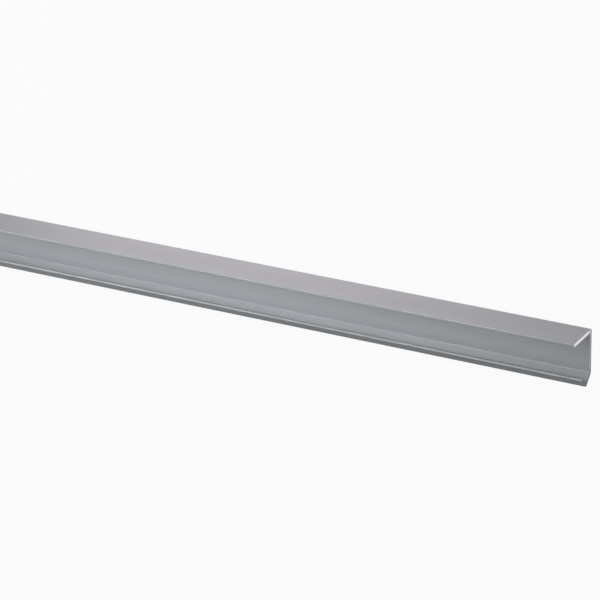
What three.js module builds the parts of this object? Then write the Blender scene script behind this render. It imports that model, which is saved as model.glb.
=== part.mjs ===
// Hooked aluminium channel: one straight length of extruded profile with the same section all along.
//
// Millimetres, +Z up. The length runs along X and lies on the outer face of its web, so that the
// channel opens upwards. The section stands in the YZ plane: a flat web on the floor, a flange that
// rises square from the web's +Y side, and on its -Y side a hook: a leg that slopes out and up to
// a tip, and a lip that turns back from the tip over the channel. Every leg has the same wall.

import * as THREE from "three";

// Length of stock.
const stockLength = 1000;

// Legs of the section, each measured along its outer face.
const wall = 1.6;
const flangeDepth = 19.3; // from the web's outer face to the flange's free edge
const webWidth = 22; // from the flange's outer face to the bend
const slopeLength = 7.5; // from the bend to the sharp point of the tip
const lipLength = 7.1; // from the sharp point of the tip to the crown of the lip's rounded edge
const bendAngle = THREE.MathUtils.degToRad(45); // the slope's rise from the plane of the web
const tipAngle = THREE.MathUtils.degToRad(90); // between the slope and the lip

// Radii. The lip's free edge has none here: it is fully rounded, half a wall in radius.
const flangeEdgeRadius = 0.45; // either side of the flange's flat free edge
const cornerOuterRadius = 0.5;
const cornerInnerRadius = 0.4;
const bendInnerRadius = 1;
const tipOuterRadius = 0.6;
const tipInnerRadius = 0.4;

// Straight runs that each arc is divided into: twice this number.
const arcFineness = 8;

const silverAnodised = new THREE.MeshStandardMaterial({
  color: 0xc5c6ca,
  roughness: 0.42,
  metalness: 0.9,
});

// Point at a distance from another, along a heading.
function pointFrom(origin, heading, distance) {
  const along = new THREE.Vector2(Math.cos(heading), Math.sin(heading));
  return origin.clone().addScaledVector(along, distance);
}

// Corners of the outer face: flange edge, corner, bend, tip, lip edge. The last is the point where
// the lip's outer face runs into its rounded edge. The section's x is the part's Y, and its y is Z.
function outerFace() {
  const corner = new THREE.Vector2(0, 0);
  const flangeEdge = new THREE.Vector2(0, flangeDepth);
  const bend = new THREE.Vector2(-webWidth, 0);
  const tip = pointFrom(bend, Math.PI - bendAngle, slopeLength);
  const lipEdge = pointFrom(tip, tipAngle - bendAngle, lipLength - wall / 2);
  return [flangeEdge, corner, bend, tip, lipEdge];
}

// Unit vector square to the run from one point to the next, pointing into the channel.
function inward(from, to) {
  const along = to.clone().sub(from).normalize();
  return new THREE.Vector2(along.y, -along.x);
}

// The inner face: every run of the outer face moved inwards by the wall, met again at its corners.
function innerFace(outer) {
  const runs = outer.slice(1).map((point, i) => inward(outer[i], point));
  return outer.map((point, i) => {
    const before = runs[i - 1] ?? runs[i];
    const after = runs[i] ?? before;
    const reach = wall / (1 + before.dot(after));
    return point.clone().addScaledVector(before, reach).addScaledVector(after, reach);
  });
}

// Arc that rounds a corner to a radius. The outline runs straight from arc to arc.
function roundCorner(outline, before, corner, after, radius) {
  const arriving = corner.clone().sub(before).normalize();
  const leaving = after.clone().sub(corner).normalize();
  const turn = Math.atan2(arriving.cross(leaving), arriving.dot(leaving));
  const side = Math.sign(turn);
  const toCentre = new THREE.Vector2(-arriving.y, arriving.x).multiplyScalar(side);
  const setback = radius * Math.tan(Math.abs(turn) / 2);
  const centre = corner.clone().addScaledVector(arriving, -setback).addScaledVector(toCentre, radius);
  const start = toCentre.negate().angle();
  outline.absarc(centre.x, centre.y, radius, start, start + turn, side < 0);
}

// Half circle over the lip's free edge, from one face to the other.
function roundEdge(outline, from, to) {
  const centre = from.clone().lerp(to, 0.5);
  const start = from.clone().sub(centre).angle();
  outline.absarc(centre.x, centre.y, wall / 2, start, start - Math.PI, true);
}

// Closed outline of the section: from the flange's edge down the outer face, round the lip's edge,
// and back along the inner face.
function sectionShape() {
  const outer = outerFace();
  const inner = innerFace(outer);
  const last = outer.length - 1;
  const edgeRadius = Math.min(flangeEdgeRadius, wall / 2);
  const outerRadii = [edgeRadius, cornerOuterRadius, bendInnerRadius + wall, tipOuterRadius];
  const innerRadii = [edgeRadius, cornerInnerRadius, bendInnerRadius, tipInnerRadius];
  const outline = new THREE.Shape();
  for (let i = 0; i < last; i += 1) {
    const before = outer[i - 1] ?? inner[0];
    roundCorner(outline, before, outer[i], outer[i + 1], outerRadii[i]);
  }
  roundEdge(outline, outer[last], inner[last]);
  for (let i = last - 1; i >= 0; i -= 1) {
    const after = inner[i - 1] ?? outer[0];
    roundCorner(outline, inner[i + 1], inner[i], after, innerRadii[i]);
  }
  outline.closePath();
  return outline;
}

// The length of stock, with the origin under the middle of its box.
function channelProfile() {
  const geometry = new THREE.ExtrudeGeometry(sectionShape(), {
    depth: stockLength,
    bevelEnabled: false,
    curveSegments: arcFineness,
  });
  geometry.computeBoundingBox();
  const middle = geometry.boundingBox.getCenter(new THREE.Vector3());
  geometry.translate(-middle.x, 0, -middle.z);
  const profile = new THREE.Mesh(geometry, silverAnodised);
  profile.name = "channel_profile";
  const sectionX = new THREE.Vector3(0, 1, 0);
  const sectionY = new THREE.Vector3(0, 0, 1);
  const alongStock = new THREE.Vector3(1, 0, 0);
  const lying = new THREE.Matrix4().makeBasis(sectionX, sectionY, alongStock);
  profile.quaternion.setFromRotationMatrix(lying);
  return profile;
}

const part = new THREE.Group();
part.add(channelProfile());

export default part;
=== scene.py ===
import math
from collections import Counter

import bmesh
import bpy
from mathutils import Euler, Matrix, Vector


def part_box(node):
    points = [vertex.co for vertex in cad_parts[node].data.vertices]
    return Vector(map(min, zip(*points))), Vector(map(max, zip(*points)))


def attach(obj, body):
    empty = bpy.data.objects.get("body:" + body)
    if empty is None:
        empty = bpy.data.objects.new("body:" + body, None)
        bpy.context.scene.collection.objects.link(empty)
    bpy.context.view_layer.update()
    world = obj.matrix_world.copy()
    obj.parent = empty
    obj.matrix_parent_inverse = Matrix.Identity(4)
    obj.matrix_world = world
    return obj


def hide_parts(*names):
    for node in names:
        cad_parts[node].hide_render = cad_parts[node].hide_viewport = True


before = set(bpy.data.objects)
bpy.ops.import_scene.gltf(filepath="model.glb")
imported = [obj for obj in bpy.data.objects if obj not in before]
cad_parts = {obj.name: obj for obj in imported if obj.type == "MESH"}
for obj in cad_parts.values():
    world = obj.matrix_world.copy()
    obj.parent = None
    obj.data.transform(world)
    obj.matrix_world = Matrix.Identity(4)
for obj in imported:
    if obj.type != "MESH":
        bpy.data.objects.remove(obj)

# A length of silver anodised aluminium extrusion, lying on its web with the channel open upwards.
# Metres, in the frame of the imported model: X along the stock, Y towards its flange, Z up. The near
# end is the one at the high end of X, and the far end is the other.

NODE = "channel_profile"
LOW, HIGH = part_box(NODE)
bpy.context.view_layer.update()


# ---------------------------------------------------------------- camera

# The near corner is the outer corner between web and flange, on the near end.
PICTURE_SIDE = 600
FOCAL_PIXELS = 2797
NEAR_CORNER_PIXEL = (591.74, 328.60)
NEAR_CORNER = Vector((HIGH.x, HIGH.y, LOW.z))
CORNER_DEPTH = 1.272  # from the camera, along its line of sight, to the near corner
VIEW_TURN = math.radians(29.98)  # from square on to the channel, towards the near end
VIEW_TILT = math.radians(23.69)  # from square on to the channel, towards the flange
VIEW_ROLL = math.radians(-1.66)
SENSOR_WIDTH = 36.0  # millimetres, as the lens is
NEAREST_SEEN = 0.05
FARTHEST_SEEN = 50


def make_camera():
    """A camera turned by the three angles, and placed so that the near corner is on its pixel."""
    backward = Vector((
        math.sin(VIEW_TURN) * math.cos(VIEW_TILT),
        math.sin(VIEW_TILT),
        math.cos(VIEW_TURN) * math.cos(VIEW_TILT),
    ))
    level_right = Vector((math.cos(VIEW_TURN), 0, -math.sin(VIEW_TURN)))
    level_up = backward.cross(level_right)
    right = level_right * math.cos(VIEW_ROLL) + level_up * math.sin(VIEW_ROLL)
    up = level_up * math.cos(VIEW_ROLL) - level_right * math.sin(VIEW_ROLL)
    across = (NEAR_CORNER_PIXEL[0] - PICTURE_SIDE / 2) / FOCAL_PIXELS
    down = (NEAR_CORNER_PIXEL[1] - PICTURE_SIDE / 2) / FOCAL_PIXELS
    ray = right * across - up * down - backward

    data = bpy.data.cameras.new("view_camera")
    data.sensor_width = SENSOR_WIDTH
    data.lens = FOCAL_PIXELS * SENSOR_WIDTH / PICTURE_SIDE
    data.clip_start = NEAREST_SEEN
    data.clip_end = FARTHEST_SEEN
    camera = bpy.data.objects.new("view_camera", data)
    bpy.context.scene.collection.objects.link(camera)
    axes = Matrix((right, up, backward)).transposed()
    camera.matrix_world = Matrix.Translation(NEAR_CORNER - ray * CORNER_DEPTH) @ axes.to_4x4()
    bpy.context.scene.camera = camera


# ---------------------------------------------------------------- nodes

def add_node(tree, kind, settings=None, **inputs):
    """A shader node. Settings are its own fields. An input is linked if it is given a socket, and
    set if it is given a value. Its name has underscores for spaces, or is n and its number."""
    made = tree.nodes.new(kind)
    for name, value in (settings or {}).items():
        setattr(made, name, value)
    for name, value in inputs.items():
        key = int(name[1:]) if name[1:].isdigit() else name.replace("_", " ")
        socket = made.inputs[key]
        if isinstance(value, bpy.types.NodeSocket):
            tree.links.new(value, socket)
        else:
            socket.default_value = value
    return made


def new_material(name):
    """An empty material and its tree of nodes."""
    material = bpy.data.materials.new(name)
    material.use_nodes = True
    material.node_tree.nodes.clear()
    return material, material.node_tree


def math_node(tree, operation, first, second):
    """The result of one sum, product or comparison of two values."""
    made = add_node(tree, "ShaderNodeMath", {"operation": operation}, n0=first, n1=second)
    return made.outputs[0]


def fade(tree, value, span, ends):
    """A value that goes smoothly from one end to the other as the first one crosses the span."""
    ramp = add_node(tree, "ShaderNodeMapRange", {"interpolation_type": "SMOOTHSTEP"}, Value=value,
                    From_Min=span[0], From_Max=span[1], To_Min=ends[0], To_Max=ends[1])
    return ramp.outputs["Result"]


# ---------------------------------------------------------------- world and floor

WHITE = (1, 1, 1, 1)
FLOOR_COLOUR = (0.5, 0.5, 0.5, 1)
FLOOR_RADIUS = 12.0
FLOOR_SIDES = 96
FLOOR_WHITE = 0.945  # share of a seen floor that is plain white, and so takes no shadow
WORLD_LEVEL = 0.11
HORIZON = (0, 0.03)  # heights of a line of sight over which the world's white fades

# Painted reflection, where the floor glows white to the metal alone: beside the flange, a little
# tinted, and past both ends.
PAINTED_REFLECTION_TINT = (1, 0.945, 0.965, 1)
BESIDE_IN = (-0.44, -0.24)  # from the near end, along X
BESIDE_OUT = (-0.2, 0.2)  # from the near end, along X
# The painted reflection past the ends fades in from each end, which leaves painted contact shade at
# the end's foot, and stops short of the hook's side, as painted shade there.
PAST_IN = (0, 0.0016)  # outwards from either end
PAST_SIDE = (-0.013, -0.004)  # along Y, from the hook's side of the section


def seen_share(tree, mirrored):
    """One to the camera, and the given share to the metal."""
    path = add_node(tree, "ShaderNodeLightPath")
    glossy, transmitted = path.outputs["Is Glossy Ray"], path.outputs["Is Transmission Ray"]
    indirect = math_node(tree, "MAXIMUM", glossy, transmitted)
    share = math_node(tree, "MULTIPLY", indirect, mirrored)
    return math_node(tree, "MAXIMUM", share, path.outputs["Is Camera Ray"])


def make_world():
    """A dim world. It goes on from the floor in white, to the camera and, low down, to the metal."""
    world = bpy.data.worlds.new("studio")
    world.use_nodes = True
    tree = world.node_tree
    direction = add_node(tree, "ShaderNodeTexCoord").outputs["Generated"]
    height = add_node(tree, "ShaderNodeSeparateXYZ", Vector=direction).outputs["Z"]
    seen = seen_share(tree, fade(tree, height, HORIZON, (1, 0)))
    strength = fade(tree, seen, (0, 1), (WORLD_LEVEL, FLOOR_WHITE))
    background = tree.nodes["Background"]
    background.inputs["Color"].default_value = WHITE
    tree.links.new(strength, background.inputs["Strength"])
    bpy.context.scene.world = world


def painted_reflection_beside(tree, from_near_end, across):
    """One on the floor beside the flange's near half, where it glows as a painted reflection."""
    fading_in = fade(tree, from_near_end, BESIDE_IN, (0, 1))
    fading_out = fade(tree, from_near_end, BESIDE_OUT, (1, 0))
    near_half = math_node(tree, "MULTIPLY", fading_in, fading_out)
    return math_node(tree, "MULTIPLY", near_half, math_node(tree, "GREATER_THAN", across, HIGH.y))


def painted_reflection_past_ends(tree, past_end, across):
    """One on the floor past either end, where it glows as a painted reflection, fading in from the
    end as painted contact shade, but not on the hook's side, which is left as painted shade.
    """
    fading_in = fade(tree, past_end, PAST_IN, (0, 1))
    return math_node(tree, "MULTIPLY", fading_in, fade(tree, across, PAST_SIDE, (0, 1)))


def floor_material():
    """A pale floor. What the camera sees of it is lifted to white, and in two places what the metal
    mirrors of it too, as a painted reflection, a little tinted beside the flange."""
    material, tree = new_material("floor_white")
    place = add_node(tree, "ShaderNodeNewGeometry")
    axes = add_node(tree, "ShaderNodeSeparateXYZ", Vector=place.outputs["Position"])
    along, across = axes.outputs["X"], axes.outputs["Y"]
    from_near_end = math_node(tree, "SUBTRACT", along, HIGH.x)
    from_far_end = math_node(tree, "SUBTRACT", LOW.x, along)
    past_end = math_node(tree, "MAXIMUM", from_near_end, from_far_end)
    beside = painted_reflection_beside(tree, from_near_end, across)
    past = painted_reflection_past_ends(tree, past_end, across)
    # Where the floor glows for the metal alone: a painted reflection.
    mirrored = math_node(tree, "MAXIMUM", beside, past)
    share = math_node(tree, "MULTIPLY", seen_share(tree, mirrored), FLOOR_WHITE)
    plain = seen_share(tree, past)
    # Tint of the painted reflection beside the flange.
    colour = add_node(tree, "ShaderNodeMixRGB", Fac=plain, Color1=PAINTED_REFLECTION_TINT, Color2=WHITE)
    lit = add_node(tree, "ShaderNodeBsdfDiffuse", Color=FLOOR_COLOUR)
    lifted = add_node(tree, "ShaderNodeEmission", Color=colour.outputs[0], Strength=1.0)
    both = add_node(tree, "ShaderNodeMixShader", n0=share, n1=lit.outputs[0], n2=lifted.outputs[0])
    add_node(tree, "ShaderNodeOutputMaterial", Surface=both.outputs[0])
    return material


def make_floor():
    """A round floor under the stock."""
    bm = bmesh.new()
    bmesh.ops.create_circle(bm, cap_ends=True, segments=FLOOR_SIDES, radius=FLOOR_RADIUS)
    mesh = bpy.data.meshes.new("floor")
    bm.to_mesh(mesh)
    bm.free()
    mesh.materials.append(floor_material())
    floor = bpy.data.objects.new("floor", mesh)
    floor.location.z = LOW.z
    bpy.context.scene.collection.objects.link(floor)


# ---------------------------------------------------------------- lights

# Each softbox faces a point on the line of the stock, given along X, from a distance. From overhead
# it leans towards +Y, then swings towards +X. Its size is along the swing, then along the lean.
LAMP_COLOUR = (0.955, 1, 1)
AIM_HEIGHT = 0.01
KEY = {"along": 0, "lean": math.radians(25), "distance": 0.65, "size": (0.5, 0.73), "watts": 2.72}
FILL = {"along": -0.83, "lean": math.radians(5), "distance": 1.2, "size": (2.0, 1.84), "watts": 3.6}
END = {"along": 0, "distance": 1.8, "size": (0.9, 1.8), "watts": 3.6}
END_SWING = math.radians(60)


def add_softbox(name, along, distance, size, watts, lean=0, swing=0):
    """A softbox that faces the stock, hidden from the camera."""
    turn = Euler((-lean, swing, 0))
    towards = turn.to_matrix() @ Vector((0, 0, 1))
    data = bpy.data.lights.new(name, "AREA")
    data.shape = "RECTANGLE"
    data.size, data.size_y = size
    data.energy = watts
    data.color = LAMP_COLOUR
    softbox = bpy.data.objects.new(name, data)
    softbox.location = Vector((along, 0, AIM_HEIGHT)) + towards * distance
    softbox.rotation_euler = turn
    softbox.visible_camera = False
    bpy.context.scene.collection.objects.link(softbox)


def make_lights():
    """Two softboxes overhead, and one off each end of the stock."""
    add_softbox("key_softbox", **KEY)
    add_softbox("fill_softbox", **FILL)
    add_softbox("near_softbox", swing=END_SWING, **END)
    add_softbox("far_softbox", swing=-END_SWING, **END)


# ---------------------------------------------------------------- materials of the profile

# Noise is given in cells per metre along each axis, and its values mostly lie in NOISE_SPAN.
NOISE_SPAN = (0.3, 0.7)
NOISE_FALLOFF = 0.55  # how much of each octave the next one keeps
COARSE_DETAIL = 2.0  # octaves
FINE_DETAIL = 3.0

ANODISED = (0.56, 0.565, 0.59)
BAND_CELLS = (1.5, 420, 420)
LINE_CELLS = (5, 5200, 5200)
SMUDGE_CELLS = (22, 60, 60)
SCUFF_CELLS = (90, 700, 700)
GRAIN_CELLS = (2600, 2600, 2600)
BAND_TONE = (0.98, 1.02)
LINE_TONE = (-0.03, 0.03)
LINE_ROUGHNESS = (0.49, 0.61)
SMUDGE_ROUGHNESS = (-0.02, 0.02)
SCUFF_SPAN = (0.42, 0.66)
# Lighter tone on rubbed convex edges, which is wear and also a painted highlight on the ridges.
SCUFF_AND_HIGHLIGHT_TONE = 0.08  # how much lighter a rubbed edge is
SCUFF_POLISH = 0.05  # how much smoother a rubbed edge is
RADIUS_ROUGHNESS = 0.08  # how much rougher a radius is than a flat
ANODISED_GRAIN = 0.5  # height of the grain, as a share of the lines'
ANODISED_BUMP = {"Strength": 0.5, "Distance": 6e-6}
ANISOTROPY = 0.5  # how far the lines draw a highlight out across them

BARE = (0.78, 0.785, 0.79)
BLADE_CENTRE = Vector((0, -0.05, -0.13))  # of the saw's blade, in the plane of a sawn end
SAW_MARKS = 2600  # per metre of the blade's radius
SAWN_GRAIN_CELLS = (4000, 4000, 4000)
SAWN_TONE = (0.94, 1.04)
SAWN_ROUGHNESS = (0.42, 0.28)
SAWN_GRAIN = 0.3  # height of the grain, as a share of the marks'
SAWN_BUMP = {"Strength": 0.6, "Distance": 8e-6}


def noise(tree, place, cells, detail=COARSE_DETAIL):
    """Noise with its own scale along each axis."""
    scaled = add_node(tree, "ShaderNodeMapping", {"vector_type": "POINT"}, Vector=place, Scale=cells)
    made = add_node(tree, "ShaderNodeTexNoise", Vector=scaled.outputs[0], Scale=1.0, Detail=detail,
                    Roughness=NOISE_FALLOFF)
    return made.outputs["Fac"]


def attribute(tree, name):
    """A mark that the mesh carries at its corners."""
    return add_node(tree, "ShaderNodeAttribute", {"attribute_name": name}).outputs["Fac"]


def tinted(tree, colour, tone):
    """A colour made lighter or darker by a factor."""
    scaled = add_node(tree, "ShaderNodeVectorMath", {"operation": "SCALE"}, n0=colour, Scale=tone)
    return scaled.outputs[0]


def relief(tree, height, grain, grain_share, bump):
    """A normal bent by a height with some grain added to it."""
    both = math_node(tree, "ADD", height, math_node(tree, "MULTIPLY", grain, grain_share))
    return add_node(tree, "ShaderNodeBump", Height=both, **bump).outputs[0]


def metal(tree, colour, roughness, normal, **inputs):
    """The metal's surface, sent to the material's output."""
    surface = add_node(tree, "ShaderNodeBsdfPrincipled", Base_Color=colour, Metallic=1.0,
                       Roughness=roughness, Normal=normal, **inputs)
    add_node(tree, "ShaderNodeOutputMaterial", Surface=surface.outputs[0])


def anodised_material():
    """Satin anodising over the fine lengthwise lines that the die leaves, rubbed along the edges,
    and lighter there as wear and as a painted highlight on the ridges.
    """
    material, tree = new_material("silver_anodised")
    place = add_node(tree, "ShaderNodeTexCoord").outputs["Object"]
    bands = noise(tree, place, BAND_CELLS)
    lines = noise(tree, place, LINE_CELLS, detail=FINE_DETAIL)
    grain = noise(tree, place, GRAIN_CELLS)
    smudges = noise(tree, place, SMUDGE_CELLS, detail=FINE_DETAIL)
    scuffs = fade(tree, noise(tree, place, SCUFF_CELLS, detail=FINE_DETAIL), SCUFF_SPAN, (0, 1))
    rubbed = math_node(tree, "MULTIPLY", attribute(tree, "edge"), scuffs)

    tone = math_node(tree, "ADD", fade(tree, bands, NOISE_SPAN, BAND_TONE),
                     fade(tree, lines, NOISE_SPAN, LINE_TONE))
    # Rubbed convex edges are lighter: wear, and a painted highlight on the ridges.
    tone = math_node(tree, "ADD", tone, math_node(tree, "MULTIPLY", rubbed, SCUFF_AND_HIGHLIGHT_TONE))

    rough = math_node(tree, "ADD", fade(tree, lines, NOISE_SPAN, LINE_ROUGHNESS),
                      fade(tree, smudges, NOISE_SPAN, SMUDGE_ROUGHNESS))
    polish = math_node(tree, "MULTIPLY", rubbed, SCUFF_POLISH)
    rough = math_node(tree, "SUBTRACT", rough, polish)
    dull = math_node(tree, "MULTIPLY", attribute(tree, "radius"), RADIUS_ROUGHNESS)
    rough = math_node(tree, "ADD", rough, dull)

    tangent = add_node(tree, "ShaderNodeTangent", {"direction_type": "RADIAL", "axis": "X"})
    metal(tree, tinted(tree, ANODISED, tone), rough,
          relief(tree, lines, grain, ANODISED_GRAIN, ANODISED_BUMP),
          Anisotropic=ANISOTROPY, Tangent=tangent.outputs[0])
    return material


def sawn_material():
    """Bare metal with the arcs that a saw's teeth leave."""
    material, tree = new_material("sawn_end")
    place = add_node(tree, "ShaderNodeTexCoord").outputs["Object"]
    flat = add_node(tree, "ShaderNodeVectorMath", {"operation": "MULTIPLY"}, n0=place, n1=(0, 1, 1))
    radius = add_node(tree, "ShaderNodeVectorMath", {"operation": "DISTANCE"}, n0=flat.outputs[0],
                      n1=BLADE_CENTRE).outputs["Value"]
    steps = math_node(tree, "MULTIPLY", radius, SAW_MARKS)
    marks = add_node(tree, "ShaderNodeTexNoise", {"noise_dimensions": "1D"}, W=steps, Scale=1.0,
                     Detail=FINE_DETAIL).outputs["Fac"]
    grain = noise(tree, place, SAWN_GRAIN_CELLS)
    tone = fade(tree, marks, NOISE_SPAN, SAWN_TONE)
    metal(tree, tinted(tree, BARE, tone), fade(tree, marks, NOISE_SPAN, SAWN_ROUGHNESS),
          relief(tree, marks, grain, SAWN_GRAIN, SAWN_BUMP))
    return material


# ---------------------------------------------------------------- the profile

SAME_PLACE = 1e-6  # corners nearer than this are one
SAME_DIGITS = 6  # of a metre, to which places are compared
EDGE_BREAK = 0.00012  # radius that deburring leaves on the sawn ends
BREAK_STEPS = 3  # flat pieces that stand for that radius
ARC_STEP = 0.0003  # a side of the outline shorter than this is a piece of an arc
EDGE_TURN = math.sin(math.radians(3))  # the outline turns more than this at each corner of an edge
SHADING_WEIGHT = 100  # how far large faces keep their own normals up to a rounded edge
ANODISED_SLOT = 0
SAWN_SLOT = 1


def rim_neighbours(bm):
    """The corners round the model's near end, each with the two beside it."""
    end = {v for v in bm.verts if abs(v.co.x - HIGH.x) < SAME_PLACE}
    end_faces = [f for f in bm.faces if end.issuperset(f.verts)]
    uses = Counter(edge for face in end_faces for edge in face.edges)
    beside = {}
    for edge in (e for e, count in uses.items() if count == 1):
        a, b = edge.verts
        beside.setdefault(a, []).append(b)
        beside.setdefault(b, []).append(a)
    return beside


def end_outline():
    """Corners of the section, in order round it, read from the rim of the model's near end."""
    bm = bmesh.new()
    bm.from_mesh(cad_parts[NODE].data)
    bmesh.ops.remove_doubles(bm, verts=bm.verts, dist=SAME_PLACE)
    beside = rim_neighbours(bm)
    start = min(beside, key=lambda v: (round(v.co.y, SAME_DIGITS), v.co.z))
    chain = [start, beside[start][0]]
    while chain[-1] is not start:
        chain.append(next(v for v in beside[chain[-1]] if v is not chain[-2]))
    outline = [Vector((v.co.y, v.co.z)) for v in chain[:-1]]
    bm.free()
    area = sum(a.x * b.y - b.x * a.y for a, b in zip(outline, outline[1:] + outline[:1]))
    return outline if area > 0 else outline[::-1]


def corner_runs(outline):
    """Each corner of the outline with the unit directions in which it is reached and left."""
    for i, here in enumerate(outline):
        arriving = (here - outline[i - 1]).normalized()
        leaving = (outline[(i + 1) % len(outline)] - here).normalized()
        yield here, arriving, leaving


def inset(outline, depth):
    """The outline moved inwards, each corner along the bisector of its two sides."""
    moved = []
    for here, arriving, leaving in corner_runs(outline):
        inner = Vector((-arriving.y - leaving.y, arriving.x + leaving.x))
        moved.append(here + inner * (depth / (1 + arriving.dot(leaving))))
    return moved


def corner_marks(outline):
    """Two marks for each corner: whether it is on a convex edge, which rubbing reaches and which
    gets a painted highlight, and whether it is inside an arc, other than the tight arc of an inner
    corner."""
    sides = [(outline[(i + 1) % len(outline)] - here).length for i, here in enumerate(outline)]
    marks = []
    for i, (here, arriving, leaving) in enumerate(corner_runs(outline)):
        turn = arriving.cross(leaving)
        in_arc = max(sides[i - 1], sides[i]) < ARC_STEP
        marks.append((float(turn > EDGE_TURN), float(in_arc and turn > -EDGE_TURN)))
    return marks


def ring_places():
    """Where each ring of corners is along X, and how far inside the outline: those round the broken
    edge of the far end, then those round that of the near end."""
    quarter = [math.pi / 2 * step / BREAK_STEPS for step in range(BREAK_STEPS + 1)]
    rounding = [(EDGE_BREAK * (1 - math.sin(a)), EDGE_BREAK * (1 - math.cos(a))) for a in quarter]
    far = [(LOW.x + back, depth) for depth, back in rounding]
    near = [(HIGH.x - back, depth) for depth, back in reversed(rounding)]
    return far + near


def profile_mesh():
    """The section run through its rings and closed at both ends."""
    outline = end_outline()
    marks = corner_marks(outline)
    bm = bmesh.new()
    on_edge = bm.verts.layers.float.new("edge")
    on_radius = bm.verts.layers.float.new("radius")
    loops = []
    for x, depth in ring_places():
        loop = [bm.verts.new((x, p.x, p.y)) for p in inset(outline, depth)]
        for vert, (edge, radius) in zip(loop, marks):
            vert[on_edge] = edge
            vert[on_radius] = radius
        loops.append(loop)
    for step, (a, b) in enumerate(zip(loops, loops[1:])):
        for i in range(len(outline)):
            side = bm.faces.new((a[i - 1], b[i - 1], b[i], a[i]))
            side.material_index = ANODISED_SLOT if step == BREAK_STEPS else SAWN_SLOT
    for end in (loops[0], loops[-1][::-1]):
        bm.faces.new(end).material_index = SAWN_SLOT
    for face in bm.faces:
        face.smooth = True
    bmesh.ops.recalc_face_normals(bm, faces=bm.faces)
    mesh = bpy.data.meshes.new("profile")
    bm.to_mesh(mesh)
    bm.free()
    return mesh


def make_profile():
    """The visible profile, which stands for the model's node."""
    mesh = profile_mesh()
    mesh.materials.append(anodised_material())
    mesh.materials.append(sawn_material())
    profile = bpy.data.objects.new("profile", mesh)
    bpy.context.scene.collection.objects.link(profile)
    shading = profile.modifiers.new("even_shading", "WEIGHTED_NORMAL")
    shading.weight = SHADING_WEIGHT
    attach(profile, "root")
    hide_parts(NODE)


# ---------------------------------------------------------------- the scene

bpy.context.scene.view_settings.view_transform = "Standard"
make_camera()
make_world()
make_floor()
make_lights()
make_profile()
